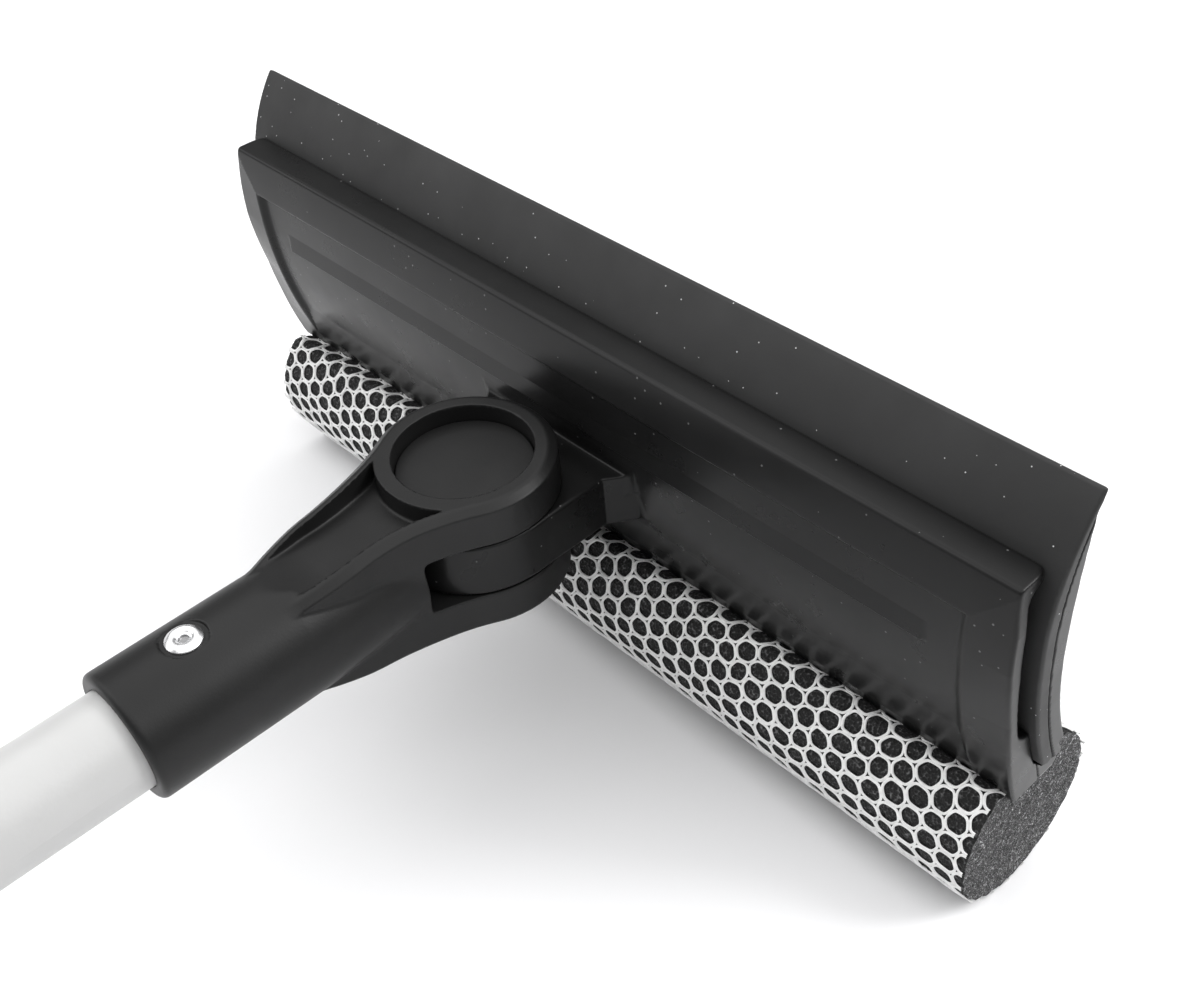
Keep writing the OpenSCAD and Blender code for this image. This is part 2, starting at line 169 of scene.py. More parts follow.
def cell_points(values, lines):
    """A point in each cell that the surface crosses, and each cell's point number."""
    inside = values < 0
    nx, ny, nz = values.shape
    solid_corners = sum(
        inside[a:nx - 1 + a, b:ny - 1 + b, c:nz - 1 + c].astype(np.int8)
        for a in (0, 1) for b in (0, 1) for c in (0, 1)
    )
    cells = np.nonzero((solid_corners > 0) & (solid_corners < 8))
    total = np.zeros((len(cells[0]), 3))
    hits = np.zeros(len(cells[0]))
    for axis in range(3):
        others = [o for o in range(3) if o != axis]
        for p in (0, 1):
            for q in (0, 1):
                low = [c.copy() for c in cells]
                low[others[0]] += p
                low[others[1]] += q
                high = [c.copy() for c in low]
                high[axis] += 1
                at_low, at_high = values[tuple(low)], values[tuple(high)]
                cross = (at_low < 0) != (at_high < 0)
                t = np.where(cross, at_low / np.where(cross, at_low - at_high, 1), 0)
                start = np.stack([line[at] for line, at in zip(lines, low)], 1)
                end = np.stack([line[at] for line, at in zip(lines, high)], 1)
                total += np.where(cross[:, None], start + (end - start) * t[:, None], 0)
                hits += cross
    index = np.full((nx - 1, ny - 1, nz - 1), -1, np.int64)
    index[cells] = np.arange(len(cells[0]))
    return total / hits[:, None], index


def cell_quads(inside, index):
    """A quad round each grid edge that the surface crosses, wound to face outwards."""
    faces = []
    for axis in range(3):
        a, b = [o for o in range(3) if o != axis]
        lower = [slice(None)] * 3
        upper = [slice(None)] * 3
        lower[axis], upper[axis] = slice(0, -1), slice(1, None)
        crossed = np.array(np.nonzero(inside[tuple(lower)] != inside[tuple(upper)]))
        keep = (crossed[a] > 0) & (crossed[b] > 0)
        keep &= (crossed[a] < inside.shape[a] - 1) & (crossed[b] < inside.shape[b] - 1)
        crossed = crossed[:, keep]
        ring = []
        for da, db in ((-1, -1), (0, -1), (0, 0), (-1, 0)):
            cell = crossed.copy()
            cell[a] += da
            cell[b] += db
            ring.append(index[tuple(cell)])
        quad = np.stack(ring, 1)
        solid_low = inside[tuple(crossed)]
        flip = solid_low if axis == 1 else ~solid_low
        quad[flip] = quad[flip][:, ::-1]
        faces.append(quad)
    return np.concatenate(faces)


def slope(field, points):
    """The field's gradient at points."""
    grads = []
    for axis in range(3):
        d = np.zeros(3)
        d[axis] = PROBE
        grads.append((field(*(points + d).T) - field(*(points - d).T)) / (2 * PROBE))
    return np.stack(grads, 1)


def moulded(name, field, xs, ys, zs, body, replaces):
    """A piece by surface nets on a grid, its vertices then pulled onto the surface."""
    lines = (xs, ys, zs)
    values = sample(field, lines)
    points, index = cell_points(values, lines)
    faces = cell_quads(values < 0, index)
    for _ in range(PULLS):
        g = slope(field, points)
        move = field(*points.T) / np.maximum((g * g).sum(1), FLATTEST)
        points = points - np.clip(move, -PULL_MAX, PULL_MAX)[:, None] * g
    g = slope(field, points)
    normals = g / np.maximum(np.linalg.norm(g, axis=1), 1e-6)[:, None]
    return add_mesh(name, points, faces, body, replaces, normals)


# ------------------------------------------------------- fork and pole socket

FORK_H = 34.2
AXIS_Z = -FORK_H / 2                      # height of the pole's axis
RING_R = 20.3
WAIST_X, WAIST_Y = 11.0, -36.0            # the neck's narrowest point
NECK_R = (WAIST_X ** 2 + WAIST_Y ** 2 - RING_R ** 2) / (2 * (RING_R - WAIST_X))
NECK_X = WAIST_X + NECK_R
NECK_END = -60.0
TAIL_TAPER, TAIL_CURVE = 4.5, 1.5
SLOPE_START = -20.0
TAIL_DROP, DROP_CURVE = 7.0, 1.7
CHAMFER_W, CHAMFER_H = 2.0, 1.5
RIB_W = 3.0
POCKET_DEPTH, POCKET_FRONT = 4.8, -4.0
POCKET_FROM_AXIS = 19.2                   # the ring's wall stays this wide
POCKET_LIFT, LIFT_START, LIFT_RUN = 2.6, -40.0, 18.0
TONGUE_T, TONGUE_GAP = 13.2, 0.4
TONGUE_Z = AXIS_Z - TONGUE_T / 2
SLOT_BACK = -22.4
RECESS_R, RECESS_DEPTH = 15.4, 6.8
PIN_HOLE_R = 8.05
SOCKET_R, NOSE_R = 14.3, 13.0
SOCKET_END, SHOULDER_Y, NOSE_Y = -88.0, -50.0, -20.0
POLE_BORE_R, BORE_END = 11.05, -42.0
RIVET_Y, RIVET_HOLE_R = -70.0, 2.05
SPOT_R, SPOT_DEPTH = 4.9, 0.75            # flat seat for the rivet's flange
SPOT_Z = AXIS_Z + SOCKET_R - SPOT_DEPTH


def fork(x, y, z):
    """Round forked end, ribbed neck and pole socket in one moulding."""
    wide = np.abs(x)
    from_swivel = np.hypot(x, y)
    off_middle = np.abs(z - AXIS_Z)
    # Outline from above: ring, hollow flanks and a tapering tail
    flank = NECK_R - np.hypot(wide - NECK_X, y - WAIST_Y)
    taper = TAIL_TAPER * np.clip((WAIST_Y - y) / (WAIST_Y - NECK_END), 0, 1) ** TAIL_CURVE
    side = np.where(y > WAIST_Y, flank, wide - WAIST_X + taper)
    plan = np.where(y * NECK_X > WAIST_Y * wide, from_swivel - RING_R, side)
    plan = np.maximum(plan, NECK_END - y)
    # Top and bottom, sloping towards the socket, with chamfered edges
    along = np.clip((SLOPE_START - y) / (SLOPE_START - NECK_END), 0, 1)
    slab = off_middle - FORK_H / 2 + TAIL_DROP * along ** DROP_CURVE
    chamfer = CHAMFER_H * plan + CHAMFER_W * slab + CHAMFER_W * CHAMFER_H
    body = smax(smax(plan, slab, 0.3), chamfer / math.hypot(CHAMFER_W, CHAMFER_H), 0.3)
    # Socket, slimming into the neck
    from_pole = np.hypot(x, z - AXIS_Z)
    tube = from_pole - np.interp(y, [SHOULDER_Y, NOSE_Y], [SOCKET_R, NOSE_R])
    tube = smax(smax(tube, SOCKET_END - y, 1.6), y - NOSE_Y, 3.0)
    body = smin(body, tube, 0.6)
    # Pocket between the ribs, above and below, running out where the socket starts
    floor = FORK_H / 2 - POCKET_DEPTH + POCKET_LIFT * rise((LIFT_START - y) / LIFT_RUN) - off_middle
    pocket = smax(np.maximum(side + RIB_W, y - POCKET_FRONT), POCKET_FROM_AXIS - from_swivel, 0.4)
    body = smax(body, -smax(pocket, floor, 0.8), 0.3)
    # Slot for the tongue, recesses above and below, hole for the pin
    slot = smax(smax(SLOT_BACK - y, TONGUE_Z - TONGUE_GAP - z, 1.6),
                z - TONGUE_Z - TONGUE_T - TONGUE_GAP, 1.6)
    body = smax(body, -slot, 0.4)
    recess = smax(from_swivel - RECESS_R, FORK_H / 2 - RECESS_DEPTH - off_middle, 0.3)
    body = smax(body, -recess, 0.3)
    body = np.maximum(body, PIN_HOLE_R - from_swivel)
    # Bore for the pole, seat and hole for the rivet
    bore = smax(from_pole - POLE_BORE_R, y - BORE_END, 0.3)
    body = smax(body, -bore, 0.5)
    from_rivet = np.hypot(x, y - RIVET_Y)
    body = smax(body, -smax(from_rivet - SPOT_R, SPOT_Z - z, 0.3), 0.4)
    return np.maximum(body, -np.maximum(from_rivet - RIVET_HOLE_R, AXIS_Z - z))


fork_piece = moulded(
    "fork_moulding", fork,
    graded((-21.4, 21.4, 0.5)), graded((-89.4, 21.4, 0.5)), graded((-35.2, 1.0, 0.5)),
    "handle", ["fork_socket"],
)


# ------------------------------------------------------- head mouldings
# The head's side profile is made of arcs round axes along x.

SHELL_HALF, BLADE_HALF = 121.0, 123.0
SHELL_BASE, RIDGE_Z = -44.4, 19.3
BEND_Z = 4.0                              # height of the front arcs' centres
SKIN_Y, RUBBER_T = 30.9, 3.4              # the rubber at BEND_Z: front skin, thickness
LOW_R, TOP_R, TOP_BACK_R = 110.0, 45.0, 54.0
BLADE_TOP, RUBBER_BASE = 33.4, -36.4
CURL, CURL_RUN = 0.15, 3.0                # the edge's corners turn up a little
JOINT_TOP = -36.5                         # below it the two shells meet
JOINT_Z, JOINT_Y = [SHELL_BASE, -36.6], [41.6, 39.2]
JOINT_COS = 0.956                         # cosine of the joint's lean


def rubber_front(y, z):
    """Distance from the rubber's front skin, negative behind it."""
    low = np.hypot(y - (SKIN_Y + LOW_R), z - BEND_Z) - LOW_R
    top = np.hypot(y - (SKIN_Y + TOP_R), z - BEND_Z) - TOP_R
    return np.where(z < BEND_Z, low, top)


def rubber_back(y, z):
    """Distance from the rubber's back skin, negative behind it."""
    low = np.hypot(y - (SKIN_Y + LOW_R), z - BEND_Z) - (LOW_R - RUBBER_T)
    top = np.hypot(y - (SKIN_Y + RUBBER_T + TOP_BACK_R), z - BEND_Z) - TOP_BACK_R
    return np.where(z < BEND_Z, low, top)


def joint_line(y, z):
    """Distance from the line where the two shells meet, negative in front of it."""
    return (y - np.interp(z, JOINT_Z, JOINT_Y)) * JOINT_COS


BORDER_W, BORDER_PROUD = 9.4, 0.4
EDGE_Z = [-42.5, -25.5, -16.0, 0.0, RIDGE_Z]
EDGE_PROUD = [1.1, -0.5, -1.0, -0.3, -0.9]
TRAY_DEPTH = 1.35
TRAY_SIDE_RUN, TRAY_TOP_RUN, TRAY_FROM_TOP = 3.0, 1.4, 9.6
LEDGE_Z = [-38.6, -37.2, -28.2, -27.0]
LEDGE_SHARE = [0.0, 0.15, 0.93, 1.0]      # share of the tray's depth at those heights
BAR_TOP, BAR_H, BAR_FOOT = 0.6, 4.8, -5.0
BAR_PROUD, BAR_HALF, BAR_END_RUN = 0.85, 102.8, 1.6


def shell_relief(x, z):
    """How far the front face stands proud of its plain curve."""
    from_end = SHELL_HALF - np.abs(x)
    from_top = RIDGE_Z - z
    # Bevelled border on three sides
    edge = np.interp(z, EDGE_Z, EDGE_PROUD)
    border = edge + (BORDER_PROUD - edge) * np.clip(np.minimum(from_end, from_top) / BORDER_W, 0, 1)
    # Shallow tray inside it, its base ramping out above a narrow ledge
    side_in = rise((from_end - BORDER_W) / TRAY_SIDE_RUN)
    top_in = rise((from_top - TRAY_FROM_TOP) / TRAY_TOP_RUN)
    base_in = np.interp(z, LEDGE_Z, LEDGE_SHARE)
    tray = TRAY_DEPTH * np.minimum(np.minimum(side_in, top_in), base_in)
    # Long wedge-shaped bar
    wedge = np.clip((BAR_TOP - z) / BAR_H, 0, 1) * rise(z - BAR_FOOT)
    bar = BAR_PROUD * wedge * rise((BAR_HALF - np.abs(x)) / BAR_END_RUN)
    return border - tray + bar


TONGUE_R = 20.2
FLANGE_HALF, FLANGE_END = 24.5, 30.0
FLARE_Y = [0, 21, 27, FLANGE_END]
FLARE_X = [TONGUE_R, TONGUE_R, FLANGE_HALF, FLANGE_HALF]
FLARE_SCALE = 0.87                        # brings the flared sides near a true distance
LIP_HALF, LIP_Y, LIP_HALF_T = 24.4, 27.4, 1.0
LIP_TOP, LIP_BASE = -8.4, -14.0


def bracket(x, y, z):
    """Tongue in the fork, spreading into the flange on the shell."""
    wide = np.abs(x)
    flare = (wide - np.interp(y, FLARE_Y, FLARE_X)) * FLARE_SCALE
    arm = np.maximum(flare, np.maximum(-y, y - FLANGE_END))
    plan = smin(np.hypot(x, y) - TONGUE_R, arm, 0.6)
    body = smax(plan, np.abs(z - AXIS_Z) - TONGUE_T / 2, 0.7)
    lip = smax(np.maximum(wide - LIP_HALF, np.abs(y - LIP_Y) - LIP_HALF_T), z - LIP_TOP, 0.5)
    return smin(body, np.maximum(lip, LIP_BASE - z), 2.4)


FACE_Y, FACE_R, SHELL_WALL = 24.0, 115.0, 3.8
HOLLOW = (0, 60, -24, 17.1)               # behind the face: y from, y to, z from, z to
TOP_WALL_BACK = 34.9
CORNER_START, CORNER_RUN = 9.0, 6.0       # heights over which the corners' rounding sets in
ENDS_Z, ENDS_HALF = [-4.0, CORNER_START, RIDGE_Z], [SHELL_HALF, 120.7, 119.8]
BUSH_HOLE_R = 9.85
WASHER_R, WASHER_SINK = 15.05, 0.9


def front_shell(x, y, z):
    """Front shell with its border, tray, bar, open ends, flange and tongue."""
    from_centre = np.hypot(y - (FACE_Y + FACE_R), z - BEND_Z)
    face = from_centre - FACE_R - shell_relief(x, z)
    ends = np.abs(x) - np.interp(z, ENDS_Z, ENDS_HALF)
    outer = smax(face, z - RIDGE_Z, 0.9)
    outer = smax(outer, ends, 0.8)
    # The top wall's far corners are rounded in plan
    corner = smax(outer, smax(ends, y - TOP_WALL_BACK, 5.5), 0.6)
    outer = outer + (corner - outer) * rise((z - CORNER_START) / CORNER_RUN)
    outer = smax(outer, SHELL_BASE - z, 0.8)
    inner = smax(from_centre - (FACE_R - SHELL_WALL), box2(y, z, *HOLLOW), 4.0)
    solid = smax(outer, -inner, 0.6)
    behind = np.where(z > JOINT_TOP, -rubber_front(y, z), joint_line(y, z))
    solid = smax(solid, behind, 0.3)
    body = smin(solid, bracket(x, y, z), 1.2)
    # Hole for the bush and seats for the friction washers
    from_swivel = np.hypot(x, y)
    body = np.maximum(body, BUSH_HOLE_R - from_swivel)
    seat = np.maximum(from_swivel - WASHER_R, TONGUE_T / 2 - WASHER_SINK - np.abs(z - AXIS_Z))
    return np.maximum(body, -seat)


def rubber(x, y, z):
    """Rubber blade between the shells."""
    curl = CURL * np.clip((np.abs(x) - (BLADE_HALF - CURL_RUN)) / CURL_RUN, 0, 1) ** 2
    body = smax(rubber_front(y, z), -rubber_back(y, z), 0.4)
    body = smax(body, z - BLADE_TOP - curl, 0.25)
    body = smax(body, RUBBER_BASE - z, 2.2)
    return smax(body, np.abs(x) - BLADE_HALF, 0.6)


BACK_Y, BACK_LOW_R, BACK_TOP_R = 38.8, 85.0, 200.0
BACK_TOP, FOOT_TOP = 29.0, -32.0
FOOT_Z, FOOT_Y = [SHELL_BASE, -42.6, FOOT_TOP], [46.8, 47.8, 43.2]
FOOT_COS = 0.92                           # cosine of the foot's lean
STEP_IN = -38.0                           # below it the back shell is no wider than the front one
SCREW_XS = (-102, -42, 42, 102)
SCREW_Z, SCREW_SEAT_Y, SCREW_HOLE_R = -14.0, 37.8, 2.95


def back_shell(x, y, z):
    """Back shell: two arcs that meet at z = 0, on a foot that leans out."""
    low = BACK_LOW_R - np.hypot(y - (BACK_Y + BACK_LOW_R), z)
    top = BACK_TOP_R - np.hypot(y - (BACK_Y + BACK_TOP_R), z)
    foot = (y - np.interp(z, FOOT_Z, FOOT_Y)) * FOOT_COS
    outer = np.where(z > FOOT_TOP, np.where(z > 0, top, low), foot)
    outer = smax(outer, z - BACK_TOP, 0.6)
    half = np.interp(z, [STEP_IN, RUBBER_BASE], [SHELL_HALF, BLADE_HALF])
    outer = smax(outer, np.abs(x) - half, 0.9)
    outer = smax(outer, SHELL_BASE - z, 0.8)
    front = np.where(z > JOINT_TOP, rubber_back(y, z), -joint_line(y, z))
    body = smax(outer, front, 0.3)
    for screw_x in SCREW_XS:
        across = np.hypot(x - screw_x, z - SCREW_Z)
        body = smax(body, -smax(across - SCREW_HOLE_R, SCREW_SEAT_Y - y, 0.2), 0.4)
    return body


shell_piece = moulded(
    "front_shell_moulding", front_shell,
    graded((-122.2, -96, 0.5), (-96, -27, 3), (-27, 27, 0.5), (27, 96, 3), (96, 122.2, 0.5)),
    graded((-21.2, 20, 0.55), (20, 44, 0.45)),
    graded((-45.4, -8, 0.5), (-8, 20.4, 0.45)),
    "head", ["front_shell"],
)
rubber_piece = moulded(
    "rubber_blade_moulding", rubber,
    graded((-124, -116, 0.5), (-116, 116, 4.0), (116, 124, 0.5)),
    graded((29.5, 47, 0.45)), graded((-37.4, 35.4, 0.6)),
    "head", ["rubber_blade"],
)
back_piece = moulded(
    "back_shell_moulding", back_shell,
    graded((-124, -119, 0.5), (-119, -106, 2.0), (-106, -98, 0.5), (-98, -46, 4.0),
           (-46, -38, 0.5), (-38, 38, 4.0), (38, 46, 0.5),
           (46, 98, 4.0), (98, 106, 0.5), (106, 119, 2.0), (119, 124, 0.5)),
    graded((33, 49.4, 0.45)), graded((-45.4, 30.2, 0.6)),
    "head", ["back_shell"],
)


# ------------------------------------------------------- end cap

GRIP_R, GRIP_START, GRIP_END = 14.0, -300.0, -420.0
COLLAR_END, PLUG_HOLLOW_END = -430.0, -424.0
LUG_Y, LUG_R, LUG_HALF_T = -438.0, 12.0, 4.0
LUG_ROOT_Y, LUG_ROOT_HALF = -434.0, 5.5
HANG_Y, HANG_R = -440.0, 4.5


def end_cap(x, y, z):
    """Collar over the pole's end, with a hanging lug."""
    from_pole = np.hypot(x, z - AXIS_Z)
    collar = smax(smax(from_pole - GRIP_R, y - GRIP_END, 0.8), COLLAR_END - y, 3.2)
    root = np.maximum(np.abs(x) - LUG_R, np.abs(y - LUG_ROOT_Y) - LUG_ROOT_HALF)
    lug = np.minimum(np.hypot(x, y - LUG_Y) - LUG_R, root)
    lug = smax(lug, np.abs(z - AXIS_Z) - LUG_HALF_T, 2.0)
    body = smin(collar, lug, 2.0)
    body = smax(body, HANG_R - np.hypot(x, y - HANG_Y), 1.2)
    return smax(body, -np.maximum(from_pole - POLE_BORE_R, PLUG_HOLLOW_END - y), 0.3)


cap_piece = moulded(
    "end_cap_moulding", end_cap,
    graded((-15, 15, 0.5)), graded((-451, -419, 0.5)), graded((AXIS_Z - 15, AXIS_Z + 15, 0.5)),
    "handle", ["end_cap"],
)


# ------------------------------------------------------------------ turned parts

def turned(name, profile, place, body, replaces, sides=96):
    """A surface of revolution: profile is (radius, height) pairs, place maps local to tool."""
    profile = np.array(profile, float)
    angle = np.linspace(0, 2 * math.pi, sides, endpoint=False)
    rings = [np.stack([r * np.cos(angle), r * np.sin(angle), np.full(sides, h)], 1)
             for r, h in profile]
    points = place(np.concatenate(rings))
    here = np.arange(sides)
    after = (here + 1) % sides
    faces = [
        np.stack([here + k * sides, after + k * sides,
                  after + (k + 1) * sides, here + (k + 1) * sides], 1)
        for k in range(len(profile) - 1)
    ]
    return add_mesh(name, points, np.concatenate(faces), body, replaces)


def rounded(corners, radius, steps=5):
    """An open (radius, height) outline with its inner corners rounded."""
    corners = [np.array(c, float) for c in corners]
    out = [corners[0]]
    for before, here, after in zip(corners, corners[1:], corners[2:]):
        a, b = before - here, after - here
        length_a, length_b = np.linalg.norm(a), np.linalg.norm(b)
        reach = min(radius, length_a * 0.45, length_b * 0.45)
        p, q = here + a / length_a * reach, here + b / length_b * reach
        for t in np.linspace(0, 1, steps):
            out.append((1 - t) ** 2 * p + 2 * t * (1 - t) * here + t ** 2 * q)
    out.append(corners[-1])
    return out


def about_swivel(p):
    return p


def about_pole(p):
    return np.stack([p[:, 0], p[:, 2], AXIS_Z - p[:, 1]], 1)


def about_rivet(p):
    return p + np.array([0, RIVET_Y, 0])


MIDDLE = 0.01                             # radius at which a profile closes
PIN_R, PIN_HEAD_R = 7.95, 15.15
PIN_TOP, PIN_END = -4.1, -34

pin_piece = turned(
    "swivel_pin_head",
    rounded([(MIDDLE, PIN_END), (PIN_R, PIN_END), (PIN_R, -RECESS_DEPTH),
             (PIN_HEAD_R, -RECESS_DEPTH), (PIN_HEAD_R, PIN_TOP), (MIDDLE, PIN_TOP)], 0.4),
    about_swivel, "handle", ["pivot_pin"],
)

GROOVES, GROOVE_PITCH, GROOVE_START = 9, 12, -309.6
GROOVE_R, GROOVE_STEP = 12.7, 1.6


def grip_profile():
    """Sleeve with a tapered mouth and rings between its grooves."""
    outline = [(POLE_BORE_R, GRIP_START), (12.2, GRIP_START), (GRIP_R, -303.4)]
    for k in range(GROOVES):
        top = GROOVE_START - GROOVE_PITCH * k
        outline += [(GRIP_R, top), (GROOVE_R, top - GROOVE_STEP),
                    (GROOVE_R, top - 2 * GROOVE_STEP), (GRIP_R, top - 3 * GROOVE_STEP)]
    return outline + [(GRIP_R, GRIP_END), (POLE_BORE_R, GRIP_END)]


grip_piece = turned(
    "grip_sleeve", rounded(grip_profile(), 0.9),
    about_pole, "handle", ["hand_grip"],
)

# Radius, and height above the rivet's seat
FLANGE_RIM = [(3.85, 0), (3.9, 0.35), (2.9, 1.1), (1.9, 1.05), (1.35, 0.55), (1.05, 0.5), (1.05, -3)]

rivet_piece = turned(
    "rivet_flange", rounded([(r, SPOT_Z + height) for r, height in FLANGE_RIM], 0.3),
    about_rivet, "handle", ["socket_rivet"],
)


# ------------------------------------------------------------------ sponge

ROLL_Y, ROLL_Z, ROLL_R = 41.5, -58.0, 20.4
FOAM_HALF, FOAM_INSET = 119.4, 0.35
BULGE, GRAIN, GRAIN_LIFT = 0.35, 0.45, 0.25
LENGTH_COUNT, ROUND_COUNT, END_RINGS = 440, 260, 34       # the foam's mesh
PRESSED = 13.5                            # height of the flat under the shells
SQUASH_FROM, SQUASH_SKEW, SQUASH_RUN = 39.5, 3.5, 14.0    # degrees off the top
CELL_X, CELL_ROWS = 9.72, 50              # the net's cells: pitch along the roll, rows round it
ROW_ARC = 2 * math.pi / CELL_ROWS
NET_X, NET_TURN = -1.86, math.radians(4.4)
NOISE_CELLS, NOISE_SHIFT = 64, 1000       # the shift keeps every lattice number positive
NET_R = 21.0                              # radius on which the net's cells are laid out


def lattice_noise(p, size, seed):
    """Smooth value noise from 0 to 1 on points p, with features about size across."""
    table = np.random.RandomState(seed).rand(NOISE_CELLS, NOISE_CELLS, NOISE_CELLS)
    q = p / size + NOISE_SHIFT
    base = np.floor(q).astype(int)
    f = q - base
    f = f * f * (3 - 2 * f)
    total = 0
    for a in (0, 1):
        for b in (0, 1):
            for c in (0, 1):
                weight = (
                    (f[:, 0] if a else 1 - f[:, 0])
                    * (f[:, 1] if b else 1 - f[:, 1])
                    * (f[:, 2] if c else 1 - f[:, 2])
                )
                i, j, k = (base[:, axis] + step for axis, step in enumerate((a, b, c)))
                total = total + weight * table[i % NOISE_CELLS, j % NOISE_CELLS, k % NOISE_CELLS]
    return total


def roll_radius(x, theta, radius):
    """The roll's outline: round, but pressed flat where the shells sit on it."""
    pressed = PRESSED / np.maximum(np.sin(theta), 0.05)
    lean = np.degrees(np.abs(theta - math.pi / 2))
    squash = rise((SQUASH_FROM - SQUASH_SKEW * x / FOAM_HALF - lean) / SQUASH_RUN)
    return np.minimum(radius, radius + (np.minimum(pressed, radius) - radius) * squash)


def on_roll(x, theta, radius):
    """Tool-frame points at an angle and radius round the roll's axis."""
    return np.stack([x, ROLL_Y + radius * np.cos(theta), ROLL_Z + radius * np.sin(theta)], -1)


def foam_radius(x, theta):
    """Foam bulges a little through each opening of the net."""
    base = roll_radius(x, theta, ROLL_R - FOAM_INSET)
    arc = (theta - NET_TURN) / ROW_ARC
    bulge = 0.5 + 0.5 * np.cos(2 * math.pi * (x - NET_X) / CELL_X) * np.cos(math.pi * arc)
    return base + BULGE * bulge


def pores(points, seed):
    """Two sizes of open cell, as a roughness from 0 to 1.6."""
    return lattice_noise(points, 0.8, seed) + 0.6 * lattice_noise(points, 0.45, seed + 1)


def foam_mesh():
    """Grained roll with cut end faces; also returns how many faces its side has."""
    lengths = np.linspace(-FOAM_HALF, FOAM_HALF, LENGTH_COUNT)
    thetas = np.linspace(0, 2 * math.pi, ROUND_COUNT, endpoint=False)
    x, theta = np.meshgrid(lengths, thetas, indexing="ij")
    x, theta = x.ravel(), theta.ravel()
    skin = on_roll(x, theta, foam_radius(x, theta))
    grained = foam_radius(x, theta) - GRAIN * pores(skin, 3) + GRAIN_LIFT
    verts = [on_roll(x, theta, grained)]
    here = np.arange(ROUND_COUNT)
    after = (here + 1) % ROUND_COUNT
    faces = [np.stack([here + i * ROUND_COUNT, here + (i + 1) * ROUND_COUNT,
                       after + (i + 1) * ROUND_COUNT, after + i * ROUND_COUNT], 1)
             for i in range(LENGTH_COUNT - 1)]
    side_faces = sum(len(f) for f in faces)
    offset = len(x)
    for side, edge in ((-1, 0), (1, LENGTH_COUNT - 1)):
        end_x = np.full(ROUND_COUNT, side * FOAM_HALF)
        outer_ring = here + edge * ROUND_COUNT
        for share in np.linspace(0.97, 0.0, END_RINGS):
            share = max(share, 0.004)
            ring = on_roll(end_x, thetas, share * foam_radius(end_x, thetas))
            ring[:, 0] += side * (0.5 * pores(ring, 5) - 0.55) * min(1, (1 - share) * 12)
            verts.append(ring)
            inner_ring = here + offset
            offset += ROUND_COUNT
            quad = np.stack([outer_ring, inner_ring, inner_ring[after], outer_ring[after]], 1)
            faces.append(quad if side > 0 else quad[:, ::-1])
            outer_ring = inner_ring
    return np.concatenate(verts), np.concatenate(faces)[:, ::-1], side_faces


foam_points, foam_faces, side_faces = foam_mesh()
foam_piece = add_mesh("foam_roll", foam_points, foam_faces, "head", ["foam_sponge"])


# ------------------------------------------------------------------ net

NET_HALF, STUB = 119.5, 0.35              # where the net is cut square, and what is pulled in
BARE_TOP = math.radians(18)               # half the angle under the shells with no net
DRIFT, DRIFT_SIZE = 1.3, 6.0              # how far openings wander, and over what length
# The cord's cross-section: distance into the opening, height above the foam
CORD = [(0.0, 0.1), (0.1, 0.42), (0.22, 0.46), (0.3, 0.3), (0.38, 0.44), (0.5, 0.4), (0.6, 0.06)]


def opening():
    """Round-cornered hexagon of one cell, and the directions into its opening."""
    half, arc_mm = CELL_X / 2, ROW_ARC * NET_R
    corner_x = (half ** 2 - arc_mm ** 2) / (2 * half)
    corners = np.array([
        (corner_x, arc_mm), (-corner_x, arc_mm), (corner_x - half, 0),
        (-corner_x, -arc_mm), (corner_x, -arc_mm), (half - corner_x, 0),
    ])
    loop = []
    for s in range(6):
        a, b = corners[s], corners[(s + 1) % 6]
        loop += [a + (b - a) * t for t in np.linspace(0, 1, 5, endpoint=False)]
    loop = np.array(loop)
    for _ in range(3):
        loop = (np.roll(loop, 1, 0) + 2 * loop + np.roll(loop, -1, 0)) / 4
    tangent = np.roll(loop, -1, 0) - np.roll(loop, 1, 0)
    tangent /= np.linalg.norm(tangent, axis=1)[:, None]
    return loop, np.stack([-tangent[:, 1], tangent[:, 0]], 1)


def flat_net():
    """All the loops laid out flat: x along the roll, y round it, z the cord's height."""
    loop, inward = opening()
    half = CELL_X / 2
    rng = np.random.RandomState(11)
    loop_count, cord_count = len(loop), len(CORD)
    here = np.arange(loop_count)
    after = (here + 1) % loop_count
    template = np.concatenate([
        np.stack([here * cord_count + k, after * cord_count + k,
                  after * cord_count + k + 1, here * cord_count + k + 1], 1)
        for k in range(cord_count - 1)
    ])
    verts, faces = [], []
    offset = 0
    columns = int(FOAM_HALF / half) + 1
    for j in range(CELL_ROWS):
        theta = j * ROW_ARC + NET_TURN
        if abs(theta - math.pi / 2) < BARE_TOP:
            continue
        for i in range(-columns, columns + 1):
            if (i + j) % 2:
                continue
            rings = []
            for inset, height in CORD:
                p = loop + inward * (inset - 0.05)
                lift = np.full(loop_count, height * rng.uniform(0.8, 1.1))
                rings.append(np.column_stack([NET_X + i * half + p[:, 0], theta * NET_R + p[:, 1], lift]))
            verts.append(np.stack(rings, 1).reshape(-1, 3))
            faces.append(template + offset)
            offset += loop_count * cord_count
    return np.concatenate(verts), np.concatenate(faces)


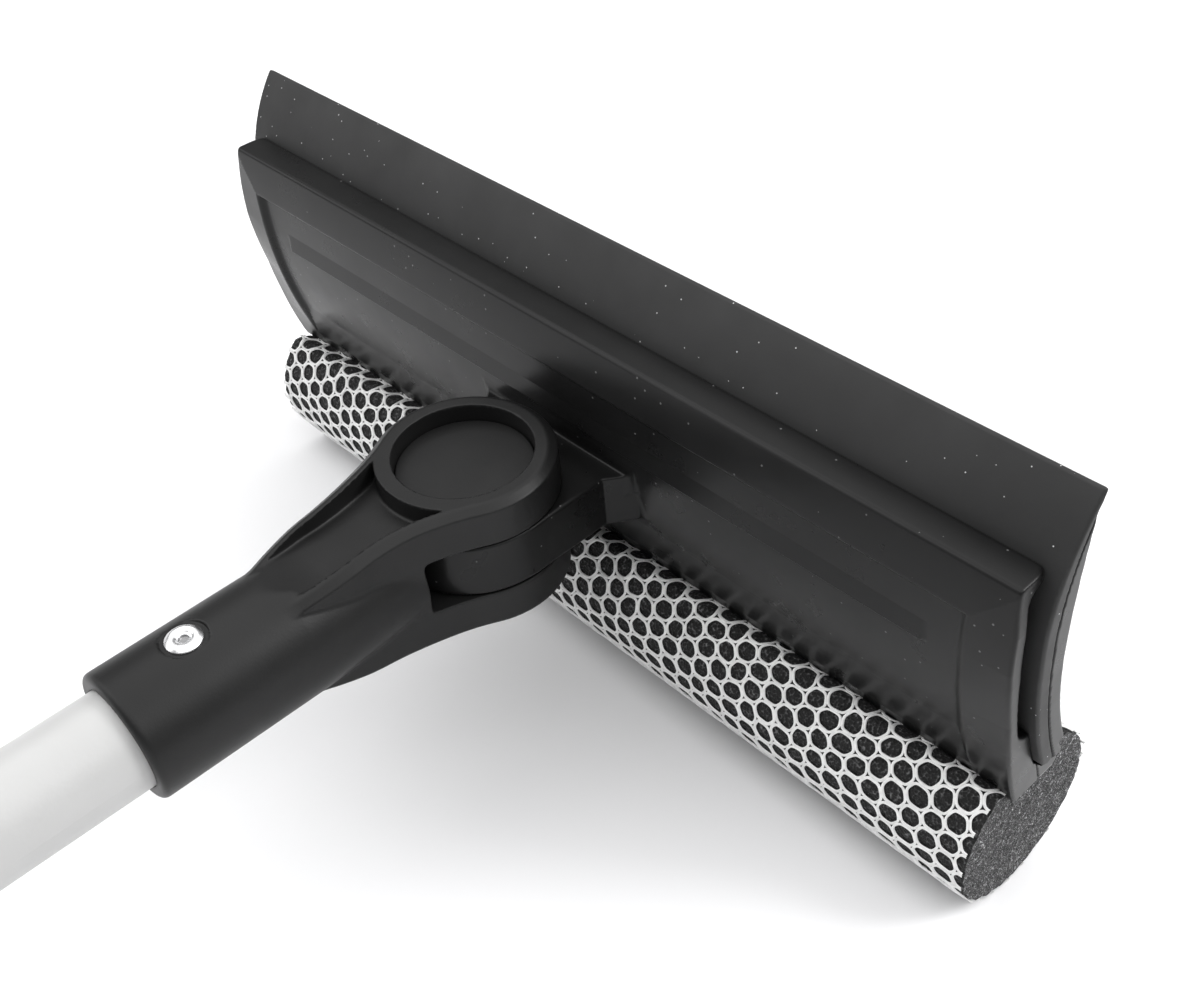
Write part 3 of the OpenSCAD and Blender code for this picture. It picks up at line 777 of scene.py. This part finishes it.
def net_mesh():
    """Closed loops of flat cord, one round each opening, drawn over the roll."""
    verts, faces = flat_net()
    # Cut off square at both ends of the roll
    keep = np.abs(verts[:, 0]) <= NET_HALF + STUB
    faces = faces[keep[faces].all(1)]
    verts[:, 0] = np.clip(verts[:, 0], -NET_HALF, NET_HALF)
    used = np.unique(faces)
    renumbered = np.full(len(verts), -1)
    renumbered[used] = np.arange(len(used))
    verts, faces = verts[used], renumbered[faces]
    # Hand-pulled over the foam: the openings drift a little from the true lattice
    flat = np.column_stack([verts[:, 0], verts[:, 1], np.zeros(len(verts))])
    verts[:, 0] += DRIFT * (lattice_noise(flat, DRIFT_SIZE, 21) - 0.5)
    theta = (verts[:, 1] + DRIFT * (lattice_noise(flat, DRIFT_SIZE, 22) - 0.5)) / NET_R
    radius = roll_radius(verts[:, 0], theta, ROLL_R - 0.1) + verts[:, 2] + 0.1
    return on_roll(verts[:, 0], theta, radius), faces[:, ::-1]


net_points, net_faces = net_mesh()
net_piece = add_mesh("knitted_net", net_points, net_faces, "head", ["net_sleeve"])


# ------------------------------------------------------------------ materials

def grey(v):
    """Grey with a trace of blue."""
    return (v, v, v * 1.01, 1.0)


def warm(v, less_blue):
    return (v, v, v - less_blue, 1.0)


class Finish:
    """A new material, with short calls that add nodes in front of its shader."""

    def __init__(self, name):
        self.material = bpy.data.materials.new(name)
        self.material.use_nodes = True
        self.tree = self.material.node_tree
        self.shader = self.tree.nodes["Principled BSDF"]

    def put(self, value, socket):
        """Link a node's output to a socket, or set the socket to a plain value."""
        if isinstance(value, bpy.types.NodeSocket):
            self.tree.links.new(value, socket)
        else:
            socket.default_value = value

    def node(self, kind, **inputs):
        """A new node with its inputs set, written with _ for the spaces in their names."""
        added = self.tree.nodes.new(kind)
        for name, value in inputs.items():
            self.put(value, added.inputs[name.replace("_", " ")])
        return added

    def shade(self, **inputs):
        """Set the shader's inputs, by the same rule."""
        for name, value in inputs.items():
            self.put(value, self.shader.inputs[name.replace("_", " ")])

    def coords(self):
        return self.node("ShaderNodeTexCoord").outputs["Object"]

    def noise(self, scale, detail=3.0):
        return self.node("ShaderNodeTexNoise", Scale=scale, Detail=detail, Roughness=0.55,
                         Vector=self.coords()).outputs["Fac"]

    def cells(self, scale):
        return self.node("ShaderNodeTexVoronoi", Scale=scale, Vector=self.coords())

    def ramp(self, source, *stops):
        """Colour by (position, colour) stops."""
        added = self.node("ShaderNodeValToRGB", Fac=source)
        first, last = added.color_ramp.elements
        first.position, first.color = stops[0]
        last.position, last.color = stops[-1]
        for position, colour in stops[1:-1]:
            added.color_ramp.elements.new(position).color = colour
        return added.outputs["Color"]

    def drift(self, source, low, high):
        """Colour that wanders between two tones."""
        return self.ramp(source, (0.3, low), (0.7, high))

    def spread(self, source, low, high):
        """A number that wanders between low and high."""
        added = self.node("ShaderNodeMapRange", From_Min=0.3, From_Max=0.7,
                          To_Min=low, To_Max=high, Value=source)
        return added.outputs["Result"]

    def bump(self, source, strength, distance):
        return self.node("ShaderNodeBump", Strength=strength, Distance=distance,
                         Height=source).outputs["Normal"]

    def math(self, operation, a, b):
        added = self.node("ShaderNodeMath")
        added.operation = operation
        self.put(a, added.inputs[0])
        self.put(b, added.inputs[1])
        return added.outputs[0]

    def specks(self, scale):
        """1 on small scattered specks, 0 elsewhere."""
        cells = self.cells(scale)
        some = self.math("GREATER_THAN", cells.outputs["Color"], 0.48)
        near = self.math("LESS_THAN", cells.outputs["Distance"], 0.07)
        return self.math("MULTIPLY", some, near)

    def mix(self, factor, a, b, blend="MIX"):
        added = self.node("ShaderNodeMix")
        added.data_type, added.blend_type = "RGBA", blend
        for name, value in (("Factor", factor), ("A", a), ("B", b)):
            self.put(value, added.inputs[name])
        return added.outputs["Result"]


def plastic(name, dark, light, rough, texture, depth, dust=None, shine=0.5):
    """Black moulded plastic: faint colour drift, fine texture, sparse dust.

    rough is (low, high), texture and depth are the fine texture's scale and height,
    and dust is the specks' (tone, scale).
    """
    f = Finish(name)
    colour = f.drift(f.noise(35), grey(dark), grey(light))
    if dust:
        tone, scale = dust
        colour = f.mix(f.specks(scale), colour, grey(tone))
    f.shade(Base_Color=colour, Specular_IOR_Level=shine,
            Roughness=f.spread(f.noise(90, 4.0), *rough),
            Normal=f.bump(f.noise(texture, 2.0), 0.35, depth))
    return f.material


def metal(name, tone, rough, scale):
    """Worn bare metal."""
    f = Finish(name)
    f.shade(Metallic=1.0,
            Base_Color=f.drift(f.noise(120), grey(tone * 0.9), grey(tone)),
            Roughness=f.spread(f.noise(scale, 4.0), *rough),
            Normal=f.bump(f.noise(scale * 2), 0.3, 0.00004))
    return f.material


def pole_paint():
    """Near-white powder coat with a fine orange peel."""
    f = Finish("white_powder_coat")
    f.shade(Base_Color=f.drift(f.noise(30), warm(0.46, 0.003), warm(0.5, 0.003)),
            Roughness=f.spread(f.noise(200), 0.34, 0.44),
            Normal=f.bump(f.noise(620, 2.0), 0.4, 0.00009))
    return f.material


def foam(name, scale, pit_shade, mid, wall):
    """Open-cell foam: painted shade deep in the open cells, between cell walls that carry painted glints.
    """
    f = Finish(name)
    depth = f.cells(scale).outputs["Distance"]
    # Painted shade: each cell's centre is coloured near black as if in shadow, rising to the walls' tone
    # at its edges.
    walls = f.ramp(depth, (0.2, grey(pit_shade)), (0.62, grey(mid)), (0.95, grey(wall)))
    # Painted highlight: random bright spots stand in for light glinting on the cell walls.
    glint = f.ramp(f.noise(700, 2.0), (0.45, grey(0.35)), (0.7, grey(1.0)))
    f.shade(Base_Color=f.mix(1.0, walls, glint, "MULTIPLY"), Roughness=0.85,
            Normal=f.bump(depth, 0.9, 0.0004))
    return f.material


def net_yarn():
    """White polyester filaments."""
    f = Finish("white_net_yarn")
    f.shade(Base_Color=f.drift(f.noise(900, 2.0), warm(0.78, 0.005), warm(0.9, 0.005)),
            Roughness=0.6, Sheen_Weight=0.2,
            Normal=f.bump(f.noise(2600, 2.0), 0.5, 0.0001))
    return f.material


def dress(obj, *materials):
    obj.data.materials.clear()
    for material in materials:
        obj.data.materials.append(material)


gloss = plastic("black_gloss_plastic", 0.007, 0.010, (0.26, 0.34), 60, 0.00002,
                dust=(0.12, 300), shine=0.2)
pin_plastic = plastic("pin_satin_plastic", 0.008, 0.011, (0.46, 0.54), 2300, 0.00005, shine=0.25)
bearing = plastic("acetal_bearing", 0.58, 0.64, (0.35, 0.42), 800, 0.00002)
steel = metal("zinc_steel", 0.55, (0.3, 0.42), 600)
nodes = frame["nodes"]

dress(fork_piece, plastic("charcoal_satin_plastic", 0.008, 0.011, (0.4, 0.48), 1900, 0.00006, shine=0.25))
dress(shell_piece, gloss)
dress(back_piece, gloss)
dress(rubber_piece, plastic("blade_rubber", 0.015, 0.02, (0.5, 0.62), 1200, 0.00004,
                            dust=(0.55, 460), shine=0.4))
dress(cap_piece, plastic("cap_satin_plastic", 0.022, 0.027, (0.42, 0.52), 1900, 0.00006))
dress(grip_piece, plastic("grip_rubber", 0.018, 0.024, (0.62, 0.74), 1500, 0.00012))
dress(pin_piece, pin_plastic)
dress(rivet_piece, metal("bright_aluminium", 0.82, (0.22, 0.34), 700))
dress(net_piece, net_yarn())
# The side and the cut ends are lit and shaded copies of one foam: the ends' copy is painted several times
# lighter.
dress(foam_piece, foam("open_cell_foam", 1700, 0.002, 0.018, 0.2),
      foam("cut_foam_face", 3000, 0.01, 0.15, 0.75))
material_index = np.zeros(len(foam_piece.data.polygons), np.int32)
material_index[side_faces:] = 1
foam_piece.data.polygons.foreach_set("material_index", material_index)

dress(nodes["pole_tube"], pole_paint())
dress(nodes["rivet_mandrel"], metal("mandrel_steel", 0.32, (0.4, 0.55), 900))
dress(nodes["sponge_carrier"], plastic("carrier_plastic", 0.02, 0.026, (0.5, 0.6), 1500, 0.00005))
dress(nodes["pin_retainer"], pin_plastic)
for name in ("retainer_screw", "wave_washer", "shell_screws"):
    dress(nodes[name], steel)
for name in ("tongue_bush", "upper_friction_washer", "lower_friction_washer"):
    dress(nodes[name], bearing)


# ------------------------------------------------------------------ stage

HEAD = (0.0, 0.2, 0.06)                    # what the lights look at

scene = bpy.context.scene
scene.view_settings.view_transform = "Standard"


def link_new(name, data):
    """A new object in the scene."""
    obj = bpy.data.objects.new(name, data)
    scene.collection.objects.link(obj)
    return obj


def floor_mesh():
    """Pale floor just under the tool."""
    mesh = bpy.data.meshes.new("floor")
    count, reach, height = 24, 3.0, -0.0002
    line = np.linspace(-reach, reach, count)
    x, y = np.meshgrid(line, line, indexing="ij")
    points = np.stack([x.ravel(), y.ravel(), np.full(count * count, height)], 1)
    i, j = np.meshgrid(np.arange(count - 1), np.arange(count - 1), indexing="ij")
    a = (i * count + j).ravel()
    faces = np.stack([a, a + count, a + count + 1, a + 1], 1)
    mesh.from_pydata(points.tolist(), [], faces.tolist())
    f = Finish("pale_floor")
    f.shade(Base_Color=f.drift(f.noise(4), grey(0.9), grey(0.92)), Roughness=0.9)
    mesh.materials.append(f.material)
    link_new("floor", mesh)


def soft_light(name, location, size, power):
    """A square area light that looks at the head."""
    light = bpy.data.lights.new(name, "AREA")
    light.shape = "RECTANGLE"
    light.size = light.size_y = size
    light.energy = power
    obj = link_new(name, light)
    obj.location = location
    obj.rotation_euler = (Vector(HEAD) - Vector(location)).to_track_quat("-Z", "Y").to_euler()


floor_mesh()
soft_light("overhead", (0.1, 0.3, 1.5), 3.0, 46)
soft_light("side", (0.75, 0.8, 0.85), 0.45, 7)
soft_light("rim", (-0.75, -0.5, 0.75), 1.0, 6)
world = bpy.data.worlds.new("studio")
world.use_nodes = True
background = world.node_tree.nodes["Background"]
background.inputs["Color"].default_value = (1, 1, 1, 1)
background.inputs["Strength"].default_value = 0.3
scene.world = world

camera_data = bpy.data.cameras.new("camera")
camera_data.sensor_width = 36.0
camera_data.lens = 44.59
camera_data.clip_start = 0.01
camera = link_new("camera", camera_data)
camera.location = (0.20674, 0.03477, 0.25956)
camera.rotation_euler = (math.radians(52.304), math.radians(0.02), math.radians(46.763))
scene.camera = camera

bpy.context.view_layer.update()
